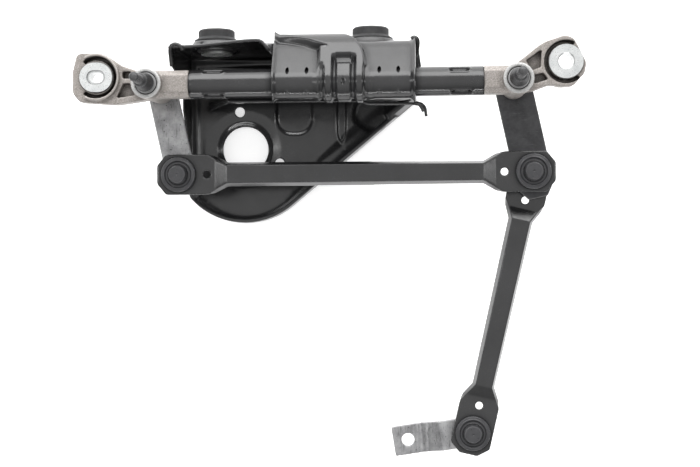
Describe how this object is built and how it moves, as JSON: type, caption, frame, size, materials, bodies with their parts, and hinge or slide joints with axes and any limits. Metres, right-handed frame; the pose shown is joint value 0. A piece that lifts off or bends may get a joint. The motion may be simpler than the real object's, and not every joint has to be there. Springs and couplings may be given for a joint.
{
  "type": "windshield wiper linkage",
  "caption": "Front windshield wiper linkage: pressed motor bracket on a cross tube, cast end housings with spindles, crank arms, ball-jointed connecting and drive rods, and a motor crank.",
  "frame": {"origin": "centre of the three-screw motor bolt circle, on the front face of the motor plate", "axes": "+X along the cross tube from the left housing to the right; +Y from the motor hole to the tube and the rubber mounts; +Z the way the spindles point, out of the plate's front face"},
  "size_m": [0.4389, 0.387, 0.168],
  "materials": {
    "e_coat": "semi-gloss black electro-coat on pressed steel",
    "cast_aluminium": "as-cast aluminium, fine blasted grain, warm grey",
    "zinc_steel": "bright zinc-plated steel",
    "raw_steel": "raw rolled steel strip with dark smears",
    "phosphate_steel": "dark manganese-phosphated steel",
    "socket_plastic": "moulded dark grey acetal",
    "rubber": "matt black rubber",
    "sintered_bronze": "oil-filled sintered bronze"
  },
  "bodies": {
    "bracket": {"motor_plate": "e_coat", "tube_cradle": "e_coat", "tube_saddle": "e_coat", "cross_tube": "e_coat", "left_housing": "cast_aluminium", "right_housing": "cast_aluminium", "left_ear_sleeve": "zinc_steel", "right_ear_sleeve": "zinc_steel", "left_front_bush": "sintered_bronze", "left_rear_bush": "sintered_bronze", "right_front_bush": "sintered_bronze", "right_rear_bush": "sintered_bronze", "left_spindle_seal": "rubber", "right_spindle_seal": "rubber", "left_rubber_mount": "rubber", "right_rubber_mount": "rubber", "left_mount_sleeve": "zinc_steel", "right_mount_sleeve": "zinc_steel"},
    "left_crank": {"left_spindle": "phosphate_steel", "left_crank_arm": "raw_steel", "left_ball_stud": "zinc_steel", "left_thrust_washer": "zinc_steel", "left_retaining_ring": "phosphate_steel"},
    "right_crank": {"right_spindle": "phosphate_steel", "right_crank_arm": "phosphate_steel", "right_double_ball_stud": "zinc_steel", "right_thrust_washer": "zinc_steel", "right_retaining_ring": "phosphate_steel"},
    "connecting_rod": {"connecting_rod": "e_coat", "connecting_rod_left_socket": "socket_plastic", "connecting_rod_right_socket": "socket_plastic"},
    "drive_rod": {"drive_rod": "e_coat", "drive_rod_upper_socket": "socket_plastic", "drive_rod_lower_socket": "socket_plastic"},
    "motor_crank": {"motor_crank": "raw_steel", "crank_ball_stud": "zinc_steel"}
  },
  "joints": [
    {"name": "left_spindle_turn", "type": "hinge", "parent": "bracket", "child": "left_crank", "pos_m": [-0.069, 0.05, 0.076], "axis": [0, 0, 1], "range_deg": [-62, 32]},
    {"name": "right_spindle_turn", "type": "hinge", "parent": "bracket", "child": "right_crank", "pos_m": [0.246, 0.05, 0.076], "axis": [0, 0, 1], "range_deg": [-62, 32]},
    {"name": "connecting_rod_left_ball", "type": "hinge", "parent": "left_crank", "child": "connecting_rod", "pos_m": [-0.0525, -0.0255, 0.051], "axis": [0, 0, 1], "range_deg": [-32, 62]},
    {"name": "drive_rod_upper_ball", "type": "hinge", "parent": "right_crank", "child": "drive_rod", "pos_m": [0.2625, -0.0255, 0.028], "axis": [0, 0, 1], "range_deg": [-4, 60]},
    {"name": "drive_rod_lower_ball", "type": "hinge", "parent": "drive_rod", "child": "motor_crank", "pos_m": [0.2087, -0.2595, 0.028], "axis": [0, 0, 1], "range_deg": [-5, 170]}
  ],
  "couplings": [
    {"joint": "right_spindle_turn", "follows": "left_spindle_turn", "ratio": 1},
    {"joint": "connecting_rod_left_ball", "follows": "left_spindle_turn", "ratio": -1}
  ]
}
